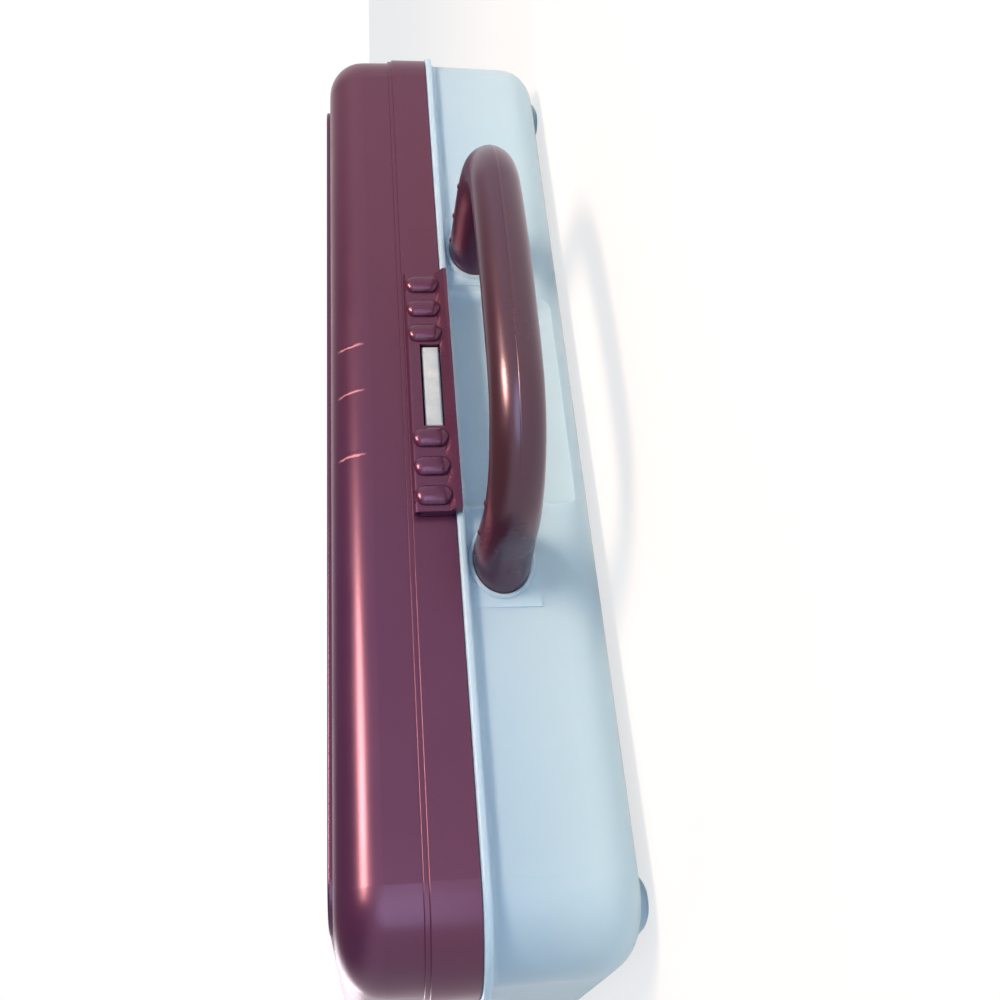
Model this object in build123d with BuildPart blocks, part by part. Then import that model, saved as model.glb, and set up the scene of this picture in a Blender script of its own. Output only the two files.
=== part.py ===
from build123d import *
from math import asin, atan, cos, degrees, radians, sin, sqrt, tan
import os

# Carrying case for pencils: a translucent base shell, a purple lid hinged at the back, a ribbed latch with a
# window at the front, and a fixed carrying handle on the base's front wall.
# Millimetres. X runs along the case, the front with the latch and handle faces -Y, and Z is up.
# The origin is under the middle of the whole case, handle and hinges included, on the plane of its feet.

# Overall sizes of the case, taken on the base wall at the parting line
case_length = 366.0
case_depth = 246.0
base_height = 45.5
lid_height = 39.5
corner_radius = 24.0
edge_radius = 14.0
wall = 2.2
draft = 1.5

# Rim where the lid sits on the base
rim_gap = 0.3
flange_reach = 3.2
flange_thickness = 2.5
flange_round = 1.0
flange_cove = 2.0
upstand_height = 8.0
upstand_gap = 0.5
skirt_reach = 2.0
skirt_height = 14.0
step_depth = 1.2
step_round = 0.5
step_band = 1.5
band_round = 0.4
ledge_thickness = 2.0
lid_draft = 1.0

# Moulded feet
foot_height = 3.5
foot_radius = 9.0
foot_flat_radius = 4.5
foot_from_end = 20.0
foot_from_front = 25.0

# Recess in the front wall between the feet of the handle
recess_length = 93.0
recess_depth = 3.5
recess_ease = 7.0

# Carrying handle
handle_span = 128.0
handle_reach = 60.0
handle_above_bottom = 31.5
grip_radius = 7.9
bend_radius = 34.0
crown_radius = 300.0
foot_oval_length = 23.6
foot_oval_height = 17.9
foot_oval_rise = 0.8
ridge_radius = 0.7
ridge_height = 0.35
leg_bump_radius = 1.4
leg_bump_height = 0.5
# share of the foot's extra width and height that is left along the leg, and at angles round the bend
leg_shape = ((0.0, 1.0, 1.0), (0.5, 0.38, 0.85), (1.0, 0.22, 0.6))
bend_shape = ((30.0, 0.1, 0.35), (60.0, 0.03, 0.12))
# bumps on the upper flank: share of the leg's length, and an angle round the bend
leg_bump_shares = (0.25, 0.75)
bend_bump_angle = 15.0
pad_length = 32.0
pad_height = 22.0
pad_boss = 1.5
seat_gap = 0.25
seat_width = 1.4
seat_height = 1.0
seat_crest_width = 0.9     # width of its flat crest

# Screws and washers that hold the handle
screw_radius = 2.0
screw_length = 16.0
screw_play = 0.3
screw_fit = 0.05
pilot_spare = 1.5
head_radius = 4.0
head_height = 2.6
head_round = 1.0
cross_length = 4.4
cross_width = 0.9
cross_depth = 1.3
washer_radius = 6.5
washer_thickness = 1.0

# Front latch
latch_length = 98.0
latch_thickness = 3.0
latch_gap = 0.3
latch_axis_below_step = 2.1
latch_drop = 13.6
lip_height = 2.2
lip_gap = 1.0
lip_thickness = 3.7
lip_slope_height = 2.8
rib_count = 3
rib_pitch = 10.85
rib_first = 21.6
rib_width = 6.6
rib_length = 11.6
rib_height = 1.8
rib_round = 1.6
rib_above_axis = 0.8
window_length = 33.6
window_height = 6.8
window_below_axis = 3.0
wire_radius = 0.75
pin_fit = 0.05
wire_short = 1.0
lug_width = 3.6
lug_gap = 0.3

# Catch of the base in the window of the latch
catch_side_gap = 0.5
catch_top_gap = 0.7
catch_bottom_gap = 0.4
catch_sink = 0.6
catch_round = 0.8
notch_gap = 1.2

# Back hinges
hinge_offset = 6.5
hinge_spacing = 210.0
barrel_radius = 3.0
hinge_pin_radius = 1.5
lid_knuckle = 24.0
base_knuckle = 12.0
knuckle_gap = 0.4
barrel_clearance = 0.5
knuckle_root = 0.6
pin_chamfer = 0.4

# Raised border on top of the lid, and two short thumb ribs across its rounded front edge
border_inset = 17.0
border_width = 6.0
border_height = 1.6
border_round = 0.7
thumb_rib_spacing = 44.0
thumb_rib_radius = 10.0
thumb_rib_width = 1.1
thumb_rib_height = 0.35
thumb_rib_angle = 27.0

# Lift-out tray
tray_side_gap = 1.2
tray_front_gap = 6.4
tray_corner_ease = 4.0     # rounder than the wall beside it
tray_below_rim = 1.0
tray_height = 22.0
tray_wall = 1.8
tray_edge_radius = 5.0
pocket_floor_radius = 3.0
pocket_corner = 6.0
pocket_draft = 2.0
# share of the depth and number of pockets, from the front row to the back row
tray_rows = ((0.26, 1), (0.34, 2), (0.40, 4))
tray_rest_gap = 0.3
rest_rib_width = 3.0
rest_rib_reach = 12.0
rest_rib_spacing = 120.0

# Places that follow from the sizes
grip_front = handle_reach + grip_radius + ridge_height
hinge_back = hinge_offset + barrel_radius
centre_y = (grip_front - hinge_back) / 2
front_y = centre_y - case_depth / 2
back_y = centre_y + case_depth / 2
floor_z = foot_height
rim_z = floor_z + base_height
flange_z = rim_z - flange_thickness
step_z = rim_z + skirt_height
top_z = rim_z + lid_height
upper_reach = skirt_reach - step_depth
band_reach = skirt_reach - step_depth / 2
recess_angle = 2 * atan(recess_depth / recess_ease)
skirt_y = front_y - skirt_reach
handle_x = handle_span / 2
handle_z = floor_z + handle_above_bottom
pad_inner_y = front_y + wall + pad_boss
washer_y = pad_inner_y + washer_thickness
pilot_depth = screw_length - (washer_y - front_y) + pilot_spare
latch_back_y = skirt_y - latch_gap
latch_front_y = latch_back_y - latch_thickness
latch_axis_y = (latch_back_y + latch_front_y) / 2
latch_axis_z = step_z - latch_axis_below_step
latch_bottom_z = latch_axis_z - latch_drop
window_top_z = latch_axis_z - window_below_axis
window_bottom_z = window_top_z - window_height
catch_top_z = window_top_z - catch_top_gap
catch_bottom_z = window_bottom_z + catch_bottom_gap
catch_x = window_length / 2 - catch_side_gap
lug_x = rib_first + (rib_count - 1) * rib_pitch
lug_radius = latch_thickness / 2
hinge_y = back_y + hinge_offset
hinge_z = rim_z
tray_top_z = rim_z - tray_below_rim
tray_floor_z = tray_top_z - tray_height
tray_corner = corner_radius - wall - tray_side_gap + tray_corner_ease


def block(z, length, depth, radius, height, taper=0.0, mode=Mode.ADD):
    """Upright block with rounded corners, centred on the case, from height z up, or down if negative."""
    with BuildSketch(Plane.XY.offset(z)) as outline:
        with Locations((0, centre_y)):
            RectangleRounded(length, depth, radius)
    extrude(outline.sketch, amount=height, taper=taper, mode=mode)


def rim_block(z, grow, height, taper=0.0, mode=Mode.ADD):
    """Block whose outline is the base wall's outline at the rim, grown by a distance."""
    block(z, case_length + 2 * grow, case_depth + 2 * grow, corner_radius + grow, height, taper, mode)


def box(x0, x1, y0, y1, z0, z1, mode=Mode.ADD):
    """Plain box between two corners."""
    with BuildSketch(Plane.XY.offset(z0)) as outline:
        with Locations(((x0 + x1) / 2, (y0 + y1) / 2)):
            Rectangle(x1 - x0, y1 - y0)
    extrude(outline.sketch, amount=z1 - z0, mode=mode)


def rod(x0, x1, y, z, radius, mode=Mode.ADD):
    """Round rod along X."""
    with BuildSketch(Plane.YZ.offset(x0)) as outline:
        with Locations((y, z)):
            Circle(radius)
    extrude(outline.sketch, amount=x1 - x0, mode=mode)


def post(x, z, y0, y1, radius, mode=Mode.ADD):
    """Round post along Y, from y0 to the larger y1."""
    with BuildSketch(Plane.XZ.offset(-y0)) as outline:
        with Locations((x, z)):
            Circle(radius)
    extrude(outline.sketch, amount=-(y1 - y0), mode=mode)


def front_recess(face_y, length):
    """Shallow recess in a front wall face, from under the floor to the flange, eased in at both ends."""
    floor_y = face_y + recess_depth
    middle_y = face_y + recess_depth / 2
    ease_radius = recess_ease / 2 / sin(recess_angle)
    with BuildSketch() as outline:
        with BuildLine():
            for side in (-1, 1):
                outer = (side * length / 2, face_y)
                middle = (side * (length - recess_ease) / 2, middle_y)
                inner = (side * (length / 2 - recess_ease), floor_y)
                RadiusArc(outer, middle, side * ease_radius)
                RadiusArc(middle, inner, -side * ease_radius)
            Line((-length / 2 + recess_ease, floor_y), (length / 2 - recess_ease, floor_y))
            Line((-length / 2, face_y), (length / 2, face_y))
        make_face()
    extrude(outline.sketch, amount=flange_z, mode=Mode.SUBTRACT)


def foot(x, y):
    """Low moulded foot with a flat underside and a rounded flank."""
    crown = floor_z + wall / 2
    with BuildSketch(Plane.XZ.offset(-y)) as profile:
        with BuildLine():
            Polyline((x, 0), (x, crown), (x + foot_radius, crown), (x + foot_radius, floor_z))
            RadiusArc((x + foot_radius, floor_z), (x + foot_flat_radius, 0), foot_radius)
            Line((x + foot_flat_radius, 0), (x, 0))
        make_face()
    revolve(profile.sketch, axis=Axis((x, y, 0), (0, 0, 1)))


def knuckle_spans(side):
    """X ranges of the two base knuckles of one hinge."""
    middle = side * hinge_spacing / 2
    reach = lid_knuckle / 2 + knuckle_gap
    return [(middle - reach - base_knuckle, middle - reach), (middle + reach, middle + reach + base_knuckle)]


os.makedirs("parts", exist_ok=True)

# Mould core that leaves the hollow of the base
with BuildPart() as base_core:
    rim_block(rim_z, -wall, -(base_height - wall), draft)
    fillet(base_core.edges().group_by(Axis.Z)[0], edge_radius - wall)
    front_recess(front_y + wall, recess_length + 2 * wall * recess_depth / recess_ease)
    rim_block(rim_z, -wall, upstand_height + 1)

# Base shell with its flange, the upstand inside the lid, and the recess in the front wall
with BuildPart() as base_shell:
    rim_block(flange_z, flange_reach, flange_thickness)
    fillet(base_shell.edges().filter_by(Plane.XY), flange_round)
    rim_block(rim_z, 0, -base_height, draft)
    fillet(base_shell.edges().group_by(Axis.Z)[0], edge_radius)
    front_recess(front_y, recess_length)
    level_faces = base_shell.faces().filter_by(Plane.XY)
    underside = level_faces.filter_by_position(Axis.Z, flange_z - 0.01, flange_z + 0.01)[0]
    fillet(underside.inner_wires().edges(), flange_cove)
    rim_block(rim_z, -upstand_gap, upstand_height)
    add(base_core.part, mode=Mode.SUBTRACT)

    # pads behind the feet of the handle: upright on the leaning wall, thicker inside, with an oval seat
    well_length = foot_oval_length + 2 * seat_gap
    well_height = foot_oval_height + 2 * seat_gap
    for side in (-1, 1):
        box(side * handle_x - pad_length / 2, side * handle_x + pad_length / 2, front_y, pad_inner_y,
            flange_z - pad_height, flange_z)
        with BuildSketch(Plane.XZ.offset(-front_y)) as seat_root:
            with Locations((side * handle_x, handle_z + foot_oval_rise)):
                Ellipse(well_length / 2 + seat_width, well_height / 2 + seat_width)
        with BuildSketch(Plane.XZ.offset(-front_y + seat_height)) as seat_crest:
            with Locations((side * handle_x, handle_z + foot_oval_rise)):
                Ellipse(well_length / 2 + seat_crest_width, well_height / 2 + seat_crest_width)
        loft([seat_root.sketch, seat_crest.sketch])
        with BuildSketch(Plane.XZ.offset(-front_y)) as well:
            with Locations((side * handle_x, handle_z + foot_oval_rise)):
                Ellipse(well_length / 2, well_height / 2)
        extrude(well.sketch, amount=seat_height + 1, mode=Mode.SUBTRACT)
        hole_radius = screw_radius + screw_play
        post(side * handle_x, handle_z, front_y - 1, pad_inner_y + 1, hole_radius, Mode.SUBTRACT)

    # catch that shows in the window of the latch
    catch_front_y = latch_front_y + catch_sink
    box(-catch_x, catch_x, catch_front_y, front_y + wall, catch_bottom_z, catch_top_z)
    catch_face = base_shell.faces().filter_by_position(Axis.Y, catch_front_y - 0.01, catch_front_y + 0.01)
    fillet(catch_face.edges(), catch_round)

    # moulded feet
    for x in (-case_length / 2 + foot_from_end, case_length / 2 - foot_from_end):
        for y in (front_y + foot_from_front, back_y - foot_from_front):
            foot(x, y)

    # ribs on the end walls that the tray rests on
    for side in (-1, 1):
        outer = side * (case_length / 2 - wall / 2)
        inner = side * (case_length / 2 - wall - rest_rib_reach)
        for y in (centre_y - rest_rib_spacing / 2, centre_y + rest_rib_spacing / 2):
            box(min(outer, inner), max(outer, inner), y - rest_rib_width / 2, y + rest_rib_width / 2,
                floor_z + edge_radius, tray_floor_z - tray_rest_gap)

    # back hinges: knuckles at both sides of the lid's, which turns in a scallop of the flange
    for side in (-1, 1):
        middle = side * hinge_spacing / 2
        reach = lid_knuckle / 2 + knuckle_gap
        rod(middle - reach, middle + reach, hinge_y, hinge_z, barrel_radius + barrel_clearance, Mode.SUBTRACT)
        for x0, x1 in knuckle_spans(side):
            rod(x0, x1, hinge_y, hinge_z, barrel_radius)
            box(x0, x1, back_y + knuckle_root, hinge_y, rim_z - barrel_radius, rim_z)
            rod(x0, x1, hinge_y, hinge_z, hinge_pin_radius + pin_fit, Mode.SUBTRACT)

base_shell.part.label = "base_shell"
export_step(base_shell.part, "parts/base_shell.step")

# Mould core that leaves the hollow of the lid
with BuildPart() as lid_core:
    rim_block(step_z, upper_reach - wall, lid_height - skirt_height - wall, lid_draft)
    fillet(lid_core.edges().group_by(Axis.Z)[-1], edge_radius - wall)
    rim_block(step_z - ledge_thickness, upper_reach - wall, ledge_thickness)
    rim_block(rim_z - 1, 0, skirt_height - ledge_thickness + 1)

# Lid shell with its skirt, the fine step above it, and the rounded top edge
with BuildPart() as lid_shell:
    rim_block(rim_z + rim_gap, skirt_reach, skirt_height - rim_gap)
    fillet(lid_shell.edges().group_by(Axis.Z)[-1], step_round)
    rim_block(step_z, band_reach, step_band)
    fillet(lid_shell.edges().group_by(Axis.Z)[-1], band_round)
    rim_block(step_z - ledge_thickness, upper_reach, ledge_thickness)
    rim_block(step_z, upper_reach, lid_height - skirt_height, lid_draft)
    fillet(lid_shell.edges().group_by(Axis.Z)[-1], edge_radius)

    # thumb ribs: thin discs that rise out of the rounded edge and sink back into it
    edge_y = front_y - upper_reach + (lid_height - skirt_height) * tan(radians(lid_draft)) + edge_radius
    edge_z = top_z - edge_radius
    shift = edge_radius + thumb_rib_height - thumb_rib_radius
    rib_y = edge_y - shift * cos(radians(thumb_rib_angle))
    rib_z = edge_z + shift * sin(radians(thumb_rib_angle))
    for x in (-thumb_rib_spacing / 2, thumb_rib_spacing / 2):
        rod(x - thumb_rib_width / 2, x + thumb_rib_width / 2, rib_y, rib_z, thumb_rib_radius)
    add(lid_core.part, mode=Mode.SUBTRACT)

    # notch in the skirt for the catch
    notch_x = catch_x + notch_gap
    box(-notch_x, notch_x, skirt_y - 1, front_y + 1, rim_z, catch_top_z + notch_gap, Mode.SUBTRACT)

    # raised border on the top
    border_length = case_length - 2 * border_inset
    border_depth = case_depth - 2 * border_inset
    with BuildSketch(Plane.XY.offset(top_z)) as border:
        with Locations((0, centre_y)):
            RectangleRounded(border_length, border_depth, corner_radius - border_inset + border_width)
            RectangleRounded(border_length - 2 * border_width, border_depth - 2 * border_width,
                             corner_radius - border_inset, mode=Mode.SUBTRACT)
    extrude(border.sketch, amount=border_height)
    fillet(lid_shell.edges().group_by(Axis.Z)[-1], border_round)

    # lugs that carry the wire of the latch
    for x in (-lug_x, lug_x):
        x0, x1 = x - lug_width / 2, x + lug_width / 2
        rod(x0, x1, latch_axis_y, latch_axis_z, lug_radius)
        box(x0, x1, latch_axis_y, skirt_y + wall / 2, latch_axis_z - lug_radius, latch_axis_z + lug_radius)
        rod(x0, x1, latch_axis_y, latch_axis_z, wire_radius + pin_fit, Mode.SUBTRACT)

    # back knuckles
    for side in (-1, 1):
        x0 = side * hinge_spacing / 2 - lid_knuckle / 2
        x1 = x0 + lid_knuckle
        rod(x0, x1, hinge_y, hinge_z, barrel_radius)
        box(x0, x1, back_y + knuckle_root, hinge_y, rim_z + rim_gap, rim_z + barrel_radius)
        rod(x0, x1, hinge_y, hinge_z, hinge_pin_radius + pin_fit, Mode.SUBTRACT)
lid_shell.part.label = "lid_shell"
export_step(lid_shell.part, "parts/lid_shell.step")

# Latch plate: full-round top edge on the wire, window, flared finger lip and ribs
with BuildPart() as front_latch:
    lip_back_y = front_y - flange_reach - lip_gap
    lip_front_y = lip_back_y - lip_thickness
    lip_top_z = latch_bottom_z + lip_height
    with BuildSketch(Plane.YZ.offset(-latch_length / 2)) as plate:
        with BuildLine():
            Polyline(
                (latch_back_y, latch_axis_z),
                (latch_back_y, lip_top_z + lip_slope_height / 3),
                (lip_back_y, lip_top_z),
                (lip_back_y, latch_bottom_z),
                (lip_front_y, latch_bottom_z),
                (lip_front_y, latch_bottom_z + lip_height / 2),
                (latch_front_y, lip_top_z + lip_slope_height * 2 / 3),
                (latch_front_y, latch_axis_z),
            )
            RadiusArc((latch_front_y, latch_axis_z), (latch_back_y, latch_axis_z), latch_thickness / 2)
        make_face()
    extrude(plate.sketch, amount=latch_length)
    rib_z = latch_axis_z + rib_above_axis - rib_length / 2
    for side in (-1, 1):
        for i in range(rib_count):
            with BuildSketch(Plane.XZ.offset(-latch_axis_y)) as rib:
                with Locations((side * (rib_first + i * rib_pitch), rib_z)):
                    SlotOverall(rib_length, rib_width, rotation=90)
            extrude(rib.sketch, amount=latch_thickness / 2 + rib_height)
    rib_top_y = latch_front_y - rib_height
    rib_tops = front_latch.faces().filter_by_position(Axis.Y, rib_top_y - 0.01, rib_top_y + 0.01)
    fillet(rib_tops.edges(), rib_round)
    box(-window_length / 2, window_length / 2, latch_front_y - 5, latch_back_y + 1,
        window_bottom_z, window_top_z, Mode.SUBTRACT)
    rod(-latch_length / 2, latch_length / 2, latch_axis_y, latch_axis_z, wire_radius + pin_fit, Mode.SUBTRACT)
    slot_radius = lug_radius + lug_gap
    for x in (-lug_x, lug_x):
        x0, x1 = x - lug_width / 2 - lug_gap, x + lug_width / 2 + lug_gap
        rod(x0, x1, latch_axis_y, latch_axis_z, slot_radius, Mode.SUBTRACT)
        box(x0, x1, latch_axis_y, latch_back_y + 1,
            latch_axis_z - slot_radius, latch_axis_z + slot_radius + 1, Mode.SUBTRACT)
        box(x0, x1, latch_axis_y - slot_radius, latch_back_y + 1,
            latch_axis_z, latch_axis_z + slot_radius + 1, Mode.SUBTRACT)

front_latch.part.label = "front_latch"
export_step(front_latch.part, "parts/front_latch.step")

# Wire that the latch turns on
with BuildPart() as latch_wire:
    wire_end = latch_length / 2 - wire_short
    rod(-wire_end, wire_end, latch_axis_y, latch_axis_z, wire_radius)

latch_wire.part.label = "latch_wire"
export_step(latch_wire.part, "parts/latch_wire.step")

# Carrying handle: two legs that swell into oval feet, round bends and a slightly crowned grip
bend_x = handle_x - bend_radius
crown_y = front_y - handle_reach + crown_radius
bend_y = crown_y - sqrt((crown_radius - bend_radius) ** 2 - bend_x**2)
bend_angle = 90 - degrees(asin(bend_x / (crown_radius - bend_radius)))
leg_length = front_y - bend_y
extra_width = foot_oval_length / 2 - grip_radius
extra_height = foot_oval_height / 2 - grip_radius


def leg_section(origin, direction, wide, high):
    """Oval across the handle's line, with its shares of the foot's extra width and height."""
    x, y = origin
    dx, dy = direction
    plane = Plane((x, y, handle_z + high * foot_oval_rise), x_dir=(-dy, dx, 0), z_dir=(dx, dy, 0))
    with BuildSketch(plane) as section:
        Ellipse(grip_radius + wide * extra_width, grip_radius + high * extra_height)
    return section.sketch


def bump(x, y, high):
    """Small dome on the upper flank of the handle."""
    top = handle_z + grip_radius + high * (extra_height + foot_oval_rise) + leg_bump_height
    with Locations((x, y, top - leg_bump_radius)):
        Sphere(leg_bump_radius)


with BuildPart() as carry_handle:
    sections = [leg_section((handle_x, front_y - share * leg_length), (0, -1), wide, high)
                for share, wide, high in leg_shape]
    for angle, wide, high in bend_shape + ((bend_angle, 0.0, 0.0),):
        across, along = cos(radians(angle)), sin(radians(angle))
        place = (bend_x + bend_radius * across, bend_y - bend_radius * along)
        sections.append(leg_section(place, (-along, -across), wide, high))
    loft(sections)
    with BuildLine(Plane.XY.offset(handle_z)) as crown_line:
        CenterArc((0, crown_y), crown_radius, -bend_angle, bend_angle - 90)
    crown_across = (cos(radians(bend_angle)), -sin(radians(bend_angle)), 0)
    crown_plane = Plane(crown_line.line @ 0, x_dir=crown_across, z_dir=crown_line.line % 0)
    with BuildSketch(crown_plane) as crown_section:
        Circle(grip_radius)
    sweep(crown_section.sketch, path=crown_line.wires()[0])

    # fine ridge where the two halves of the mould meet, along the outside
    ridge_offset = grip_radius + ridge_height - ridge_radius
    with BuildLine(Plane.XY.offset(handle_z)) as ridge_line:
        CenterArc((bend_x, bend_y), bend_radius + ridge_offset, 0, -bend_angle)
        CenterArc((0, crown_y), crown_radius + ridge_offset, -bend_angle, bend_angle - 90)
    with BuildSketch(Plane(ridge_line.wires()[0] @ 0, z_dir=(0, -1, 0))) as ridge_section:
        Circle(ridge_radius)
    sweep(ridge_section.sketch, path=ridge_line.wires()[0])

    for share in leg_bump_shares:
        low, high = leg_shape[int(share * 2)], leg_shape[int(share * 2) + 1]
        bump(handle_x, front_y - share * leg_length, (low[2] + high[2]) / 2)
    bump_across, bump_along = cos(radians(bend_bump_angle)), sin(radians(bend_bump_angle))
    fullness = (leg_shape[-1][2] + bend_shape[0][2]) / 2
    bump(bend_x + bend_radius * bump_across, bend_y - bend_radius * bump_along, fullness)
    post(handle_x, handle_z, front_y - pilot_depth, front_y, screw_radius + screw_fit, Mode.SUBTRACT)
    mirror(about=Plane.YZ)
carry_handle.part.label = "carry_handle"
export_step(carry_handle.part, "parts/carry_handle.step")

# Screws and washers that hold the handle from inside the base
for side, name in ((-1, "left"), (1, "right")):
    x = side * handle_x
    with BuildPart() as handle_washer:
        post(x, handle_z, pad_inner_y, washer_y, washer_radius)
        post(x, handle_z, pad_inner_y, washer_y, screw_radius + screw_fit, Mode.SUBTRACT)
    handle_washer.part.label = f"handle_washer_{name}"
    export_step(handle_washer.part, f"parts/handle_washer_{name}.step")

    with BuildPart() as handle_screw:
        post(x, handle_z, washer_y, washer_y + head_height, head_radius)
        fillet(handle_screw.edges().group_by(Axis.Y)[-1], head_round)
        for length, height in ((cross_length, cross_width), (cross_width, cross_length)):
            with BuildSketch(Plane.XZ.offset(-washer_y - head_height)) as cross:
                with Locations((x, handle_z)):
                    Rectangle(length, height)
            extrude(cross.sketch, amount=cross_depth, mode=Mode.SUBTRACT)
        post(x, handle_z, washer_y - screw_length, washer_y, screw_radius)
        chamfer(handle_screw.edges().group_by(Axis.Y)[0], screw_radius / 2)
    handle_screw.part.label = f"handle_screw_{name}"
    export_step(handle_screw.part, f"parts/handle_screw_{name}.step")

# Pins of the back hinges
for side, name in ((-1, "left"), (1, "right")):
    spans = knuckle_spans(side)
    with BuildPart() as hinge_pin:
        rod(spans[0][0], spans[1][1], hinge_y, hinge_z, hinge_pin_radius)
        chamfer(hinge_pin.edges().filter_by(GeomType.CIRCLE), pin_chamfer)
    hinge_pin.part.label = f"hinge_pin_{name}"
    export_step(hinge_pin.part, f"parts/hinge_pin_{name}.step")

# Lift-out tray with a long trough for pencils and smaller pockets behind it
with BuildPart() as lift_out_tray:
    tray_length = case_length - 2 * (wall + tray_side_gap)
    tray_front_y = front_y + wall + tray_front_gap
    tray_back_y = back_y - wall - tray_side_gap
    tray_depth = tray_back_y - tray_front_y
    tray_y = (tray_front_y + tray_back_y) / 2
    with BuildSketch(Plane.XY.offset(tray_top_z)) as tray_outline:
        with Locations((0, tray_y)):
            RectangleRounded(tray_length, tray_depth, tray_corner)
    extrude(tray_outline.sketch, amount=-tray_height, taper=pocket_draft)
    fillet(lift_out_tray.edges().group_by(Axis.Z)[0], tray_edge_radius)
    inner_length = tray_length - tray_wall
    inner_depth = tray_depth - tray_wall
    start_y = tray_front_y + tray_wall / 2
    for share, count in tray_rows:
        row_depth = share * inner_depth
        with BuildSketch(Plane.XY.offset(tray_top_z)) as pockets:
            with Locations((0, start_y + row_depth / 2)):
                with GridLocations(inner_length / count, 0, count, 1):
                    RectangleRounded(inner_length / count - tray_wall, row_depth - tray_wall, pocket_corner)
            with Locations((0, tray_y)):
                RectangleRounded(tray_length - 2 * tray_wall, tray_depth - 2 * tray_wall,
                                 tray_corner - tray_wall, mode=Mode.INTERSECT)
        extrude(pockets.sketch, amount=-(tray_height - tray_wall), taper=pocket_draft, mode=Mode.SUBTRACT)
        start_y += row_depth
    pocket_floor_z = tray_floor_z + tray_wall
    floors = lift_out_tray.edges().filter_by_position(Axis.Z, pocket_floor_z - 0.01, pocket_floor_z + 0.01)
    fillet(floors, pocket_floor_radius)
lift_out_tray.part.label = "lift_out_tray"
export_step(lift_out_tray.part, "parts/lift_out_tray.step")
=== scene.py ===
# %% [markdown]
# # A carrying case for pencils
#
# This lesson dresses a plastic case that is already modelled in CAD: a milky base, a pearly purple lid, a
# ribbed latch with a window, and a carrying handle. The CAD model is loaded as a fixed frame. We give each
# of its parts a procedural finish, and set up floor, light and camera.

# %% Load the frame
from math import asin, cos, exp, pi, radians, sin, sqrt

import bmesh
import bpy
from mathutils import Matrix, Vector


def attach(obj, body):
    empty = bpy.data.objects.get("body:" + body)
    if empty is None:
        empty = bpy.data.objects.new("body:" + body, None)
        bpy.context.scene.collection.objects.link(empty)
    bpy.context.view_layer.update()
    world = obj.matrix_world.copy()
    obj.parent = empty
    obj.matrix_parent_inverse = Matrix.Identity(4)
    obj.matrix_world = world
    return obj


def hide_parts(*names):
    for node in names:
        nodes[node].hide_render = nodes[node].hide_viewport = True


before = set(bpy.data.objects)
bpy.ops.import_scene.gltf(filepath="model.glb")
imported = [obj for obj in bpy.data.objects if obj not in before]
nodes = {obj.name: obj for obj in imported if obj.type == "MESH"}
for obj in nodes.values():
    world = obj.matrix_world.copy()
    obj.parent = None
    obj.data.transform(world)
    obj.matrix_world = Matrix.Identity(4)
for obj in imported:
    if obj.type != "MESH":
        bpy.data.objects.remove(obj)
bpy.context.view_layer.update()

scene = bpy.context.scene
print("nodes:", ", ".join(sorted(nodes)))

# %% [markdown]
# ## Helpers for materials
#
# Every finish here is built from shader nodes. A few short helpers keep that readable: one starts a material
# and hands back its Principled shader, one adds a node and connects what it is given, and the others make a
# colour ramp, a noise, a range, a mix or a sum. They work for the world too, because it also has a node tree.
# Patterns read Object coordinates, so they stay put on the plastic when a part moves.

# %% Material helpers
def new_material(name):
    material = bpy.data.materials.new(name)
    material.use_nodes = True
    shader = material.node_tree.nodes["Principled BSDF"]
    return material, shader


def add(material, kind, inputs=None, **settings):
    """A new node with some settings; inputs are values, or sockets to link from."""
    tree = material.node_tree
    node = tree.nodes.new(kind)
    for key, value in settings.items():
        setattr(node, key, value)
    for key, value in (inputs or {}).items():
        if isinstance(value, bpy.types.NodeSocket):
            tree.links.new(value, node.inputs[key])
        else:
            node.inputs[key].default_value = value
    return node


def connect(material, source, target):
    material.node_tree.links.new(source, target)


def ramp(material, factor, stops):
    """A colour ramp through (place, colour) stops."""
    node = add(material, "ShaderNodeValToRGB", {"Fac": factor})
    elements = node.color_ramp.elements
    while len(elements) < len(stops):
        elements.new(0.5)
    for element, (place, colour) in zip(elements, stops):
        element.position = place
        element.color = (*colour, 1)
    return node.outputs["Color"]


def object_coordinates(material):
    return add(material, "ShaderNodeTexCoord").outputs["Object"]


def noise(material, scale, detail=2.0, roughness=0.5, stretch=(1, 1, 1)):
    """Noise in the object's own coordinates; scale is in waves per metre."""
    mapping = add(material, "ShaderNodeMapping", {"Vector": object_coordinates(material), "Scale": stretch})
    node = add(material, "ShaderNodeTexNoise", {
        "Vector": mapping.outputs["Vector"], "Scale": scale, "Detail": detail, "Roughness": roughness})
    return node.outputs["Fac"]


def spread(material, value, low, high, from_low=0.0, from_high=1.0):
    """The value's range from_low to from_high, spread over low to high and held there."""
    node = add(material, "ShaderNodeMapRange", {
        "Value": value, "From Min": from_low, "From Max": from_high, "To Min": low, "To Max": high})
    return node.outputs["Result"]


def mix_colours(material, factor, first, second, blend="MIX"):
    node = add(material, "ShaderNodeMix", data_type="RGBA", blend_type=blend)
    for socket, value in (("Factor", factor), ("A", first), ("B", second)):
        if isinstance(value, bpy.types.NodeSocket):
            connect(material, value, node.inputs[socket])
        elif socket == "Factor":
            node.inputs[socket].default_value = value
        else:
            node.inputs[socket].default_value = (*value, 1)
    return node.outputs["Result"]


def calculate(material, operation, first, second=0.0):
    node = add(material, "ShaderNodeMath", {0: first, 1: second}, operation=operation)
    return node.outputs["Value"]


# %% [markdown]
# ## Scratches
#
# A case that is carried around gathers fine scratches, mostly along its length, and in patches rather than
# everywhere. A noise that is stretched along X makes long thin streaks. Only its highest values are kept, and
# a second, slow noise decides where they show.

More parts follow.
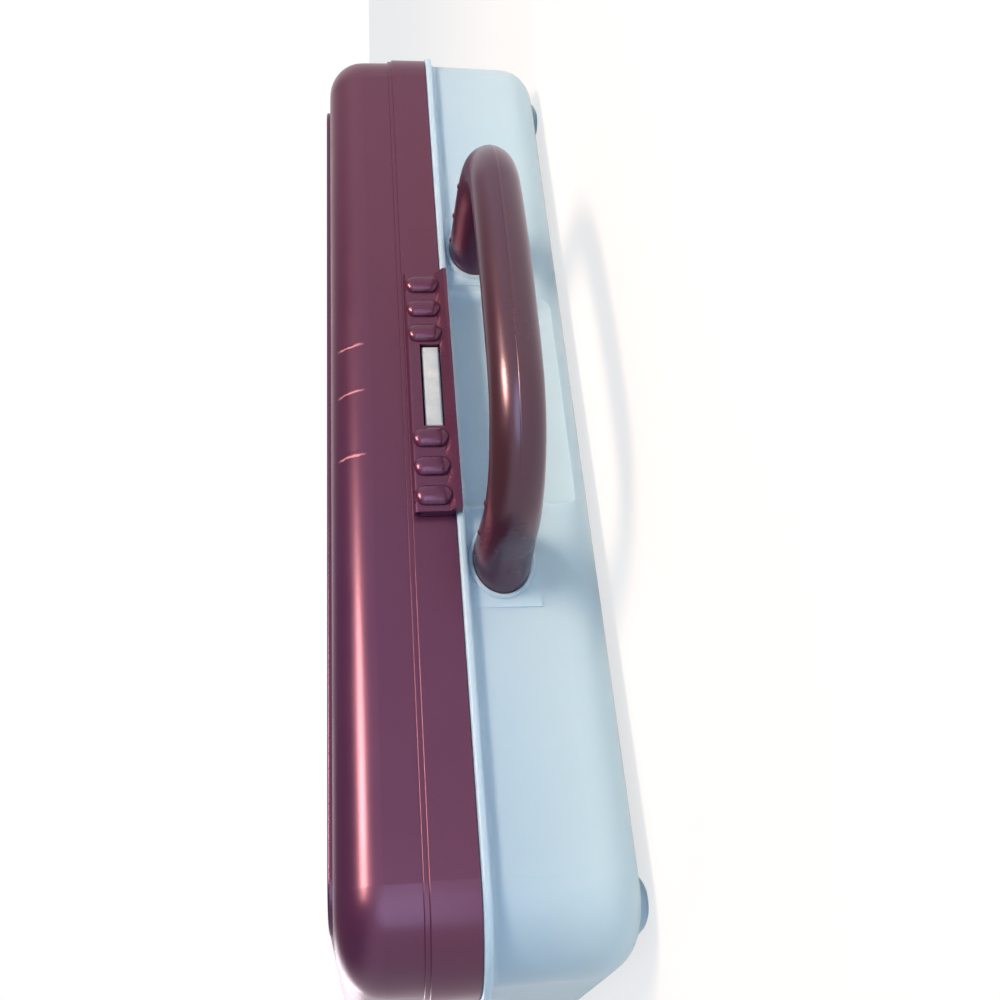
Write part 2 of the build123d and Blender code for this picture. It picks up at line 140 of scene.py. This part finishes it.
# %% Scratch pattern
SCRATCH_FROM, SCRATCH_FULL = 0.705, 0.74     # noise values between which a streak turns into a scratch


def scratches(material, amount):
    """1 on a scratch and 0 beside it; amount is the share of the surface that may hold them."""
    streaks = noise(material, 420, 1, stretch=(0.02, 1, 1))
    lines = spread(material, streaks, 0, 1, SCRATCH_FROM, SCRATCH_FULL)
    patches = spread(material, noise(material, 22, 2), 0, 1, 1 - amount, 1.08 - amount)
    return calculate(material, "MULTIPLY", lines, patches)


# %% [markdown]
# ## Scuffs on the lid's edge
#
# Three short pale marks are painted across the lid's rounded front edge near the latch, as painted highlights
# of small nicks there. Each lies at its own place along X, and Y and Z keep it on the edge. A little noise
# makes the marks uneven.

# %% Painted highlights of the nicks
NICK_GLINTS_X = (0.021, 0.0015, -0.024)
NICK_GLINT_HALF = 0.0005              # half the width of a mark
NICK_GLINT_WOBBLE = 0.0008            # how far the noise moves it sideways
NICK_GLINT_LOWER_Z = (0.0765, 0.079)  # the marks fade in between these heights
NICK_GLINT_UPPER_Z = (0.0845, 0.086)  # and out between these
NICK_GLINT_FRONT_Y = (-0.0875, -0.0865)


def painted_nick_glints(material):
    """1 on a painted nick highlight and 0 beside it."""
    place = add(material, "ShaderNodeSeparateXYZ", {"Vector": object_coordinates(material)})
    wobble = spread(material, noise(material, 350, 2), -NICK_GLINT_WOBBLE, NICK_GLINT_WOBBLE)
    along = calculate(material, "ADD", place.outputs["X"], wobble)
    marks = 0.0
    for glint_x in NICK_GLINTS_X:
        away = calculate(material, "ABSOLUTE", calculate(material, "SUBTRACT", along, glint_x))
        mark = spread(material, away, 1, 0, NICK_GLINT_HALF / 2, NICK_GLINT_HALF)
        marks = calculate(material, "MAXIMUM", mark, marks)
    lower = spread(material, place.outputs["Z"], 0, 1, *NICK_GLINT_LOWER_Z)
    upper = spread(material, place.outputs["Z"], 1, 0, *NICK_GLINT_UPPER_Z)
    front = spread(material, place.outputs["Y"], 1, 0, *NICK_GLINT_FRONT_Y)
    for edge in (lower, upper, front):
        marks = calculate(material, "MULTIPLY", marks, edge)
    return marks


# %% [markdown]
# ## Pearly purple plastic
#
# The lid, the latch and the handle are moulded in a dark purple plastic with pearl pigment. The handle's
# tones are painted browner and darker, as a painted reflection of the warm, dark room its upper side faces.
# Pearl flakes make the highlights pink and broad, while the flat faces stay deep in colour. A share of
# metallic in the Principled shader and a tint on the reflections do that, and a thin clear coat keeps a crisp
# edge on the highlights. Slow noise shifts the colour between two tones, as the flakes do where the plastic
# flowed into the mould.

# %% Pearl finish
PURPLE = (0.044, 0.012, 0.058)
PLUM = (0.064, 0.014, 0.038)
# painted reflection: browner, darker handle tones for the warm, dark room that the handle reflects
WARM_LIT_BROWN = (0.040, 0.011, 0.016)
WARM_LIT_PLUM = (0.042, 0.010, 0.030)
# painted highlight colour of the nicks on the lid's edge
NICK_GLINT = (0.55, 0.24, 0.30)
SCRATCHED = (0.24, 0.13, 0.2)
NICK_GLINT_SHARE = 0.8
PEARL_METALLIC = 0.25


def pearl_plastic(name, colours, roughness, specular, pearl, coat, coat_roughness, wear, painted_glints=False):
    """pearl is the tint of the reflections, and wear the share of the surface with scratches."""
    material, shader = new_material(name)
    flow = noise(material, 6, 2, stretch=(0.35, 1, 1))
    colour = ramp(material, flow, [(0.35, colours[0]), (0.68, colours[1])])
    flakes = ramp(material, noise(material, 3600, 1), [(0.3, (0.9, 0.9, 0.9)), (0.7, (1.1, 1.1, 1.1))])
    colour = mix_colours(material, 1.0, colour, flakes, "MULTIPLY")
    marks = scratches(material, wear)
    colour = mix_colours(material, spread(material, marks, 0, 0.4), colour, SCRATCHED)
    # painted highlights of the nicks on the lid's edge
    if painted_glints:
        glint = calculate(material, "MULTIPLY", painted_nick_glints(material), NICK_GLINT_SHARE)
        colour = mix_colours(material, glint, colour, NICK_GLINT)
    connect(material, colour, shader.inputs["Base Color"])
    shader.inputs["Metallic"].default_value = PEARL_METALLIC
    shader.inputs["Specular IOR Level"].default_value = specular
    shader.inputs["Specular Tint"].default_value = (*pearl, 1)
    shader.inputs["Coat Weight"].default_value = coat
    shader.inputs["Coat Roughness"].default_value = coat_roughness
    gloss = spread(material, noise(material, 40, 4, 0.6), roughness - 0.03, roughness + 0.04, 0.3, 0.7)
    gloss = calculate(material, "ADD", gloss, spread(material, marks, 0, 0.12))
    connect(material, gloss, shader.inputs["Roughness"])
    grain = add(material, "ShaderNodeBump", {
        "Height": noise(material, 2200, 2), "Strength": 0.08, "Distance": 0.00006})
    connect(material, grain.outputs["Normal"], shader.inputs["Normal"])
    return material


lid_finish = pearl_plastic(
    "pearl purple lid", (PURPLE, PLUM), roughness=0.31, specular=1.0, pearl=(1.0, 0.55, 0.66),
    coat=0.1, coat_roughness=0.2, wear=0.42, painted_glints=True)
latch_finish = pearl_plastic(
    "pearl purple latch", (PURPLE, PLUM), roughness=0.27, specular=0.9, pearl=(1.0, 0.55, 0.72),
    coat=0.2, coat_roughness=0.16, wear=0.36)
# the handle's browner tones are a painted reflection of a warm, dark room
handle_finish = pearl_plastic(
    "pearl purple handle", (WARM_LIT_BROWN, WARM_LIT_PLUM), roughness=0.29, specular=0.9, pearl=(0.95, 0.78, 1.0),
    coat=0.22, coat_roughness=0.22, wear=0.3)

# %% [markdown]
# ## Milky translucent plastic
#
# The base and the tray are moulded in a natural plastic that lets light in and scatters it. Subsurface
# scattering with a cool colour gives that soft, slightly blue depth. The plastic is cloudy: slow noise moves
# it between a denser and a clearer blue-white. Its colour is also painted paler low down, as painted light
# from the floor filling the wall, and stays deeper blue up under the rim.
#
# The catch that shows in the latch's window is rubbed white by the latch. It belongs to the base, and it is
# all that reaches out in front of the rim at that height, so a mask from the Y coordinate finds it.

# %% Milky finish
MILK = (0.29, 0.45, 0.61)
MILK_LIGHT = (0.34, 0.50, 0.65)
# painted light: a paler tone on the lower wall, for light from the floor
PAINTED_FLOOR_GLOW = (0.42, 0.62, 0.74)
RUBBED = (0.38, 0.47, 0.54)
RUBBED_LIGHT = (0.50, 0.58, 0.62)
MILK_SCRATCHED = (0.8, 0.84, 0.88)
CATCH_Y = -0.0974              # in front of the rim's edge and behind the face of the catch
CATCH_BLEND = 0.0003
FLOOR_GLOW_FADE_Z = (0.008, 0.043)   # the painted floor light low down fades out between these heights


def milky_plastic(name, dense, clear, low, roughness):
    """dense and clear are the cloudy plastic's two tones, and low a paler tone painted low down as floor
    light.
    """
    material, shader = new_material(name)
    colour = ramp(material, noise(material, 8, 3, 0.55), [(0.32, dense), (0.68, clear)])
    marks = scratches(material, 0.4)
    colour = mix_colours(material, spread(material, marks, 0, 0.25), colour, MILK_SCRATCHED)
    place = add(material, "ShaderNodeSeparateXYZ", {"Vector": object_coordinates(material)})
    # painted light: the colour turns paler towards the bottom, as light from the floor
    painted_floor_glow = spread(material, place.outputs["Z"], 0.9, 0, *FLOOR_GLOW_FADE_Z)
    colour = mix_colours(material, painted_floor_glow, colour, low)
    on_catch = spread(material, place.outputs["Y"], 1, 0, CATCH_Y - CATCH_BLEND, CATCH_Y)
    blotches = ramp(material, noise(material, 260, 3), [(0.35, RUBBED), (0.75, RUBBED_LIGHT)])
    colour = mix_colours(material, on_catch, colour, blotches)
    connect(material, colour, shader.inputs["Base Color"])
    shader.inputs["Subsurface Weight"].default_value = 0.6
    shader.inputs["Subsurface Radius"].default_value = (0.75, 0.88, 1.0)
    shader.inputs["Subsurface Scale"].default_value = 0.012
    shader.inputs["Specular IOR Level"].default_value = 0.4
    gloss = spread(material, noise(material, 45, 4, 0.6), roughness - 0.05, roughness + 0.07, 0.3, 0.7)
    connect(material, gloss, shader.inputs["Roughness"])
    grain = add(material, "ShaderNodeBump", {
        "Height": noise(material, 1500, 2), "Strength": 0.1, "Distance": 0.00008})
    connect(material, grain.outputs["Normal"], shader.inputs["Normal"])
    return material


base_finish = milky_plastic("milky base", MILK, MILK_LIGHT, PAINTED_FLOOR_GLOW, roughness=0.36)
# the tray, too, is painted paler low down, as floor light
tray_finish = milky_plastic(
    "milky tray", dense=(0.5, 0.56, 0.6), clear=(0.6, 0.65, 0.68), low=(0.52, 0.6, 0.66), roughness=0.42)

# %% [markdown]
# ## Steel
#
# The hinge pins, the latch wire and the handle's screws and washers are plain bright steel. Drawn wire and
# turned heads keep fine lines, so the roughness follows a noise that is stretched along the length.

# %% Steel finish
DARK_STEEL = (0.5, 0.5, 0.52)
LIGHT_STEEL = (0.66, 0.66, 0.68)


def steel(name):
    material, shader = new_material(name)
    colour = ramp(material, noise(material, 300, 3), [(0.3, DARK_STEEL), (0.7, LIGHT_STEEL)])
    connect(material, colour, shader.inputs["Base Color"])
    shader.inputs["Metallic"].default_value = 1.0
    lines = spread(material, noise(material, 700, 2, 0.5, stretch=(0.1, 1, 1)), 0.22, 0.42)
    connect(material, lines, shader.inputs["Roughness"])
    return material


steel_finish = steel("bright steel")

# %% Give each CAD part its finish
finishes = {
    "base_shell": base_finish, "lift_out_tray": tray_finish,
    "lid_shell": lid_finish, "front_latch": latch_finish, "carry_handle": handle_finish,
    "latch_wire": steel_finish, "handle_screw_left": steel_finish, "handle_screw_right": steel_finish,
    "handle_washer_left": steel_finish, "handle_washer_right": steel_finish,
    "hinge_pin_left": steel_finish, "hinge_pin_right": steel_finish,
}
for name, finish in finishes.items():
    mesh = nodes[name].data
    mesh.materials.clear()
    mesh.materials.append(finish)
print("finished parts:", len(finishes))

# %% [markdown]
# ## The handle
#
# The handle is what the hand and the eye meet first. The CAD handle has the right shape, but its leg and its
# grip are separate surfaces, and a highlight breaks where they meet. Here one ring of points is carried along
# the whole line, from foot to foot: straight out of the case, round the bend, over the slightly crowned grip
# and back. Each step extrudes the ring and moves it on by a matrix. Near the feet the ring swells to an oval.

# %% The handle's line
HANDLE_X, HANDLE_Z = 0.064, 0.035       # middle of a foot
FRONT_Y = -0.093625                     # where the feet stand on the case
BEND_RADIUS, CROWN_RADIUS = 0.034, 0.300
REACH = 0.060                           # from the case to the middle of the grip
GRIP_RADIUS = 0.0079
FOOT_WIDE, FOOT_HIGH = 0.0039, 0.00105  # what a foot is wider and higher than the grip, each side
FOOT_RISE = 0.0008                      # how much higher than the grip the middle of a foot lies

bend_x = HANDLE_X - BEND_RADIUS
crown_y = FRONT_Y - REACH + CROWN_RADIUS
bend_y = crown_y - sqrt((CROWN_RADIUS - BEND_RADIUS) ** 2 - bend_x ** 2)
leg = FRONT_Y - bend_y
crown_turn = asin(bend_x / (CROWN_RADIUS - BEND_RADIUS))
bend_turn = pi / 2 - crown_turn
half_line = leg + BEND_RADIUS * bend_turn + CROWN_RADIUS * crown_turn
print("handle's line from foot to foot:", round(2000 * half_line), "mm")


def place_on_line(way):
    """Place and heading at a way along the right half, from the foot to the middle of the grip."""
    if way < leg:
        return Vector((HANDLE_X, FRONT_Y - way, 0)), -pi / 2
    way -= leg
    if way < BEND_RADIUS * bend_turn:
        turn = way / BEND_RADIUS
        return Vector((bend_x + BEND_RADIUS * cos(turn), bend_y - BEND_RADIUS * sin(turn), 0)), -pi / 2 - turn
    turn = bend_turn + (way - BEND_RADIUS * bend_turn) / CROWN_RADIUS
    return Vector((CROWN_RADIUS * cos(turn), crown_y - CROWN_RADIUS * sin(turn), 0)), -pi / 2 - turn


def foot_shares(way):
    """Shares of the foot's extra width and height at a way from the foot; they fade towards the bend."""
    wide = sum(share * exp(-(way / fade) ** 2) for share, fade in ((0.7, 0.010), (0.3, 0.034)))
    high = exp(-(way / 0.030) ** 2)
    return wide, high


def ring_matrix(way, radius, offset=0.0):
    """Matrix that puts a unit ring across the line at a way from the left foot.

    An offset moves the ring outwards from the line, and such a ring stays round at the feet.
    """
    on_left = way < half_line
    along = way if on_left else 2 * half_line - way
    point, heading = place_on_line(along)
    wide, high = foot_shares(along)
    outward = Vector((cos(heading + pi / 2), sin(heading + pi / 2), 0))
    point += outward * offset
    width, height = (radius, radius) if offset else (radius + wide * FOOT_WIDE, radius + high * FOOT_HIGH)
    rise = HANDLE_Z + high * FOOT_RISE
    if on_left:
        point.x, outward.x = -point.x, -outward.x
    return Matrix((
        (outward.x * width, 0, -outward.y, point.x),
        (outward.y * width, 0, outward.x, point.y),
        (0, height, 0, rise),
        (0, 0, 0, 1)))


# %% Carry a ring along the line
END_SHARE = 0.35


def carry_ring(bm, first, last, steps, sides, radius, offset=0.0, sink=0):
    """A closed tube along the handle's line; it thins to END_SHARE over the first and last sink steps."""
    ring = bmesh.ops.create_circle(bm, segments=sides, radius=1.0, cap_ends=False)["verts"]
    placed = Matrix.Identity(4)
    edges = list({edge for vertex in ring for edge in vertex.link_edges})
    bmesh.ops.contextual_create(bm, geom=edges)
    for step in range(steps + 1):
        if step:
            made = bmesh.ops.extrude_edge_only(bm, edges=edges)["geom"]
            ring = [item for item in made if isinstance(item, bmesh.types.BMVert)]
            edges = [item for item in made if isinstance(item, bmesh.types.BMEdge)]
        from_end = min(step, steps - step)
        share = END_SHARE + (1 - END_SHARE) * from_end / sink if from_end < sink else 1.0
        target = ring_matrix(first + (last - first) * step / steps, radius * share, offset)
        bmesh.ops.transform(bm, matrix=target @ placed.inverted(), verts=ring)
        placed = target
    bmesh.ops.contextual_create(bm, geom=edges)


def finished_mesh(name, bm, finish):
    """A smooth-shaded object from a bmesh, with its faces turned outwards."""
    bmesh.ops.recalc_face_normals(bm, faces=bm.faces)
    for face in bm.faces:
        face.smooth = len(face.verts) < 5
    mesh = bpy.data.meshes.new(name)
    bm.to_mesh(mesh)
    bm.free()
    mesh.materials.append(finish)
    piece = bpy.data.objects.new(name, mesh)
    scene.collection.objects.link(piece)
    print(name, len(mesh.polygons), "faces")
    return piece


bm = bmesh.new()
carry_ring(bm, first=0, last=2 * half_line, steps=150, sides=56, radius=GRIP_RADIUS)
handle = finished_mesh("smooth_handle", bm, handle_finish)
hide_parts("carry_handle")
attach(handle, "base")

# %% [markdown]
# ## Marks of the mould on the handle
#
# The handle is moulded in two halves, and a fine ridge shows along its outside where they meet. It is a thin
# tube on the same line, moved outwards until only its crest stands proud. Pins that pushed the handle out of
# the mould left three small domes on the upper side at each foot, two on the leg and one at the bend's start.

# %% Ridge and pin marks
RIDGE_RADIUS = 0.0007
RIDGE_PROUD = 0.00022
RIDGE_START = leg * 0.8
DOME_RADIUS = 0.0013
DOME_PROUD = 0.00055

bm = bmesh.new()
carry_ring(bm, first=RIDGE_START, last=2 * half_line - RIDGE_START, steps=120, sides=10, radius=RIDGE_RADIUS,
           offset=GRIP_RADIUS + RIDGE_PROUD - RIDGE_RADIUS, sink=6)
ridge = finished_mesh("handle_ridge", bm, handle_finish)

bm = bmesh.new()
for way in (leg * 0.25, leg * 0.75, leg + BEND_RADIUS * radians(15)):
    for side in (0, 1):
        place = ring_matrix(way if side else 2 * half_line - way, GRIP_RADIUS)
        top = Vector((place[0][3], place[1][3], place[2][3] + place[2][1]))
        middle = top + Vector((0, 0, DOME_PROUD - DOME_RADIUS))
        bmesh.ops.create_uvsphere(
            bm, u_segments=20, v_segments=12, radius=DOME_RADIUS, matrix=Matrix.Translation(middle))
domes = finished_mesh("handle_pin_marks", bm, handle_finish)
for piece in (ridge, domes):
    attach(piece, "base")

# %% [markdown]
# ## Ribs of the latch
#
# The ribs that the thumb catches are full and pillowy. Each is a flattened sphere pulled out to a capsule:
# the half above its middle is moved up and the half below it down. It sinks by half into the plate, over the
# flatter rib of the CAD part.

# %% Pillow ribs
RIB_FIRST, RIB_PITCH = 0.0216, 0.01085         # along X, from the middle of the latch
RIB_LENGTH, RIB_WIDTH, RIB_HEIGHT = 0.0116, 0.0066, 0.0018
OVER_SIDES, OVER_CREST = 0.0003, 0.0004        # how far a pillow reaches over the CAD rib
LATCH_FRONT_Y = -0.098925
WIRE_Z = 0.0609                                # the wire that the latch turns on
RIB_Z = WIRE_Z + 0.0008 - RIB_LENGTH / 2       # a rib ends just above the height of the wire
AT_MIDDLE = 1e-6                               # vertices nearer to the middle than this stay there

rib_size = (RIB_WIDTH / 2 + OVER_SIDES, RIB_HEIGHT + OVER_CREST, RIB_WIDTH / 2 + OVER_SIDES)
pull = (RIB_LENGTH - RIB_WIDTH) / 2
bm = bmesh.new()
for side in (-1, 1):
    for number in range(3):
        rib = bmesh.ops.create_uvsphere(bm, u_segments=32, v_segments=20, radius=1.0)["verts"]
        bmesh.ops.scale(bm, vec=rib_size, verts=rib)
        upper = [vertex for vertex in rib if vertex.co.z > AT_MIDDLE]
        lower = [vertex for vertex in rib if vertex.co.z < -AT_MIDDLE]
        bmesh.ops.translate(bm, vec=(0, 0, pull), verts=upper)
        bmesh.ops.translate(bm, vec=(0, 0, -pull), verts=lower)
        rib_x = side * (RIB_FIRST + number * RIB_PITCH)
        bmesh.ops.translate(bm, vec=(rib_x, LATCH_FRONT_Y, RIB_Z), verts=rib)
ribs = finished_mesh("latch_ribs", bm, latch_finish)
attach(ribs, "latch")

# %% [markdown]
# ## Floor, light and camera
#
# The background is white. In the world, and partly in the floor, Light Path decides that: rays that come from
# the camera, a glossy surface or a clear one see white, and all others see the light that the object is lit
# with. High up the background darkens, for all of these rays alike. The floor keeps a share of its plain
# shader, so the case still throws a soft shadow on it.
#
# A warm lamp stands in front, above the lid, a cool one in front, low down, and a weak one behind. The
# camera is where the photograph was taken from: close to the front, a little above the floor, and turned on
# its side, so that the length of the case runs up the picture.

# %% Rays that see the white background
def seen_rays(material):
    """1 for rays from the camera, a glossy surface or a clear one, and 0 for all others."""
    path = add(material, "ShaderNodeLightPath")
    either = calculate(material, "MAXIMUM", path.outputs["Is Camera Ray"], path.outputs["Is Glossy Ray"])
    return calculate(material, "MAXIMUM", either, path.outputs["Is Transmission Ray"])


# %% Floor
FLOOR_WHITE = 0.72     # share of plain white in the floor, for the rays that see the background
FLOOR_TONES = (0.84, 0.84, 0.85), (0.88, 0.88, 0.88)
FLOOR_HALF = 6.0       # metres from its middle to its edge

floor_mesh = bpy.data.meshes.new("floor")
bm = bmesh.new()
bmesh.ops.create_grid(bm, x_segments=1, y_segments=1, size=FLOOR_HALF)
bm.to_mesh(floor_mesh)
bm.free()
floor = bpy.data.objects.new("floor", floor_mesh)
scene.collection.objects.link(floor)
floor_finish, floor_shader = new_material("pale floor")
floor_tone = ramp(floor_finish, noise(floor_finish, 3, 2), [(0.0, FLOOR_TONES[0]), (1.0, FLOOR_TONES[1])])
connect(floor_finish, floor_tone, floor_shader.inputs["Base Color"])
floor_shader.inputs["Roughness"].default_value = 0.8
plain_white = add(floor_finish, "ShaderNodeEmission", {"Strength": 1.0})
floor_mix = add(floor_finish, "ShaderNodeMixShader", {
    0: calculate(floor_finish, "MULTIPLY", seen_rays(floor_finish), FLOOR_WHITE),
    1: floor_shader.outputs["BSDF"],
    2: plain_white.outputs["Emission"]})
floor_output = floor_finish.node_tree.nodes["Material Output"]
connect(floor_finish, floor_mix.outputs["Shader"], floor_output.inputs["Surface"])
floor_mesh.materials.append(floor_finish)

# %% World
ROOM_LIGHT = (0.82, 0.91, 1.0, 1)
ROOM_STRENGTH = 0.5
HIGH_UP = (0.22, 0.17, 0.15)
DARKENS_FROM, DARKENS_TO = 0.42, 0.75     # height in a direction of length 1

world = bpy.data.worlds.new("studio")
scene.world = world
world.use_nodes = True
room = world.node_tree.nodes["Background"]
room.inputs["Color"].default_value = ROOM_LIGHT
room.inputs["Strength"].default_value = ROOM_STRENGTH
direction = add(world, "ShaderNodeTexCoord").outputs["Generated"]
height = add(world, "ShaderNodeSeparateXYZ", {"Vector": direction}).outputs["Z"]
shown = ramp(world, height, [(DARKENS_FROM, (1, 1, 1)), (DARKENS_TO, HIGH_UP)])
backdrop = add(world, "ShaderNodeBackground", {"Color": shown, "Strength": 1.0})
world_mix = add(world, "ShaderNodeMixShader", {
    0: seen_rays(world), 1: room.outputs["Background"], 2: backdrop.outputs["Background"]})
connect(world, world_mix.outputs["Shader"], world.node_tree.nodes["World Output"].inputs["Surface"])


# %% Lamps
def soft_lamp(name, place, aim, size, power, colour):
    """An oval area lamp that faces the point aim; power is in watts."""
    lamp = bpy.data.lights.new(name, "AREA")
    lamp.shape = "ELLIPSE"
    lamp.size, lamp.size_y = size
    lamp.energy = power
    lamp.color = colour
    holder = bpy.data.objects.new(name, lamp)
    holder.location = place
    holder.rotation_euler = (Vector(aim) - Vector(place)).to_track_quat("-Z", "Y").to_euler()
    scene.collection.objects.link(holder)


soft_lamp(
    "key lamp", place=(0.08, -0.6, 0.62), aim=(0, 0, 0.06), size=(0.44, 0.16),
    power=8.5, colour=(1.0, 0.72, 0.54))
soft_lamp(
    "fill lamp", place=(-0.45, -1.1, 0.12), aim=(0, 0, 0.05), size=(0.9, 0.5),
    power=4, colour=(0.5, 0.7, 1.0))
soft_lamp(
    "back lamp", place=(-0.3, 1.0, 0.5), aim=(0, 0, 0.04), size=(0.5, 0.5),
    power=2.5, colour=(0.9, 0.95, 1.0))

# %% Camera
FOCAL_PIXELS = 1100
PICTURE_PIXELS = 1000
SENSOR = 36.0          # millimetres

# place and directions fitted to the edges of the case in the photograph
eye = Vector((-0.220045, -0.394648, 0.076670))
ahead = Vector((0.504659, 0.855008, -0.119501))
picture_up = Vector((0.859613, -0.510467, -0.022102))

camera_data = bpy.data.cameras.new("camera")
camera_data.sensor_width = SENSOR
camera_data.lens = SENSOR * FOCAL_PIXELS / PICTURE_PIXELS
camera_data.clip_start = 0.01
camera = bpy.data.objects.new("camera", camera_data)
back = -ahead.normalized()
right = picture_up.cross(back).normalized()
up = back.cross(right)
camera.matrix_world = Matrix.Translation(eye) @ Matrix((right, up, back)).transposed().to_4x4()
scene.collection.objects.link(camera)
scene.camera = camera
scene.view_settings.view_transform = "Standard"
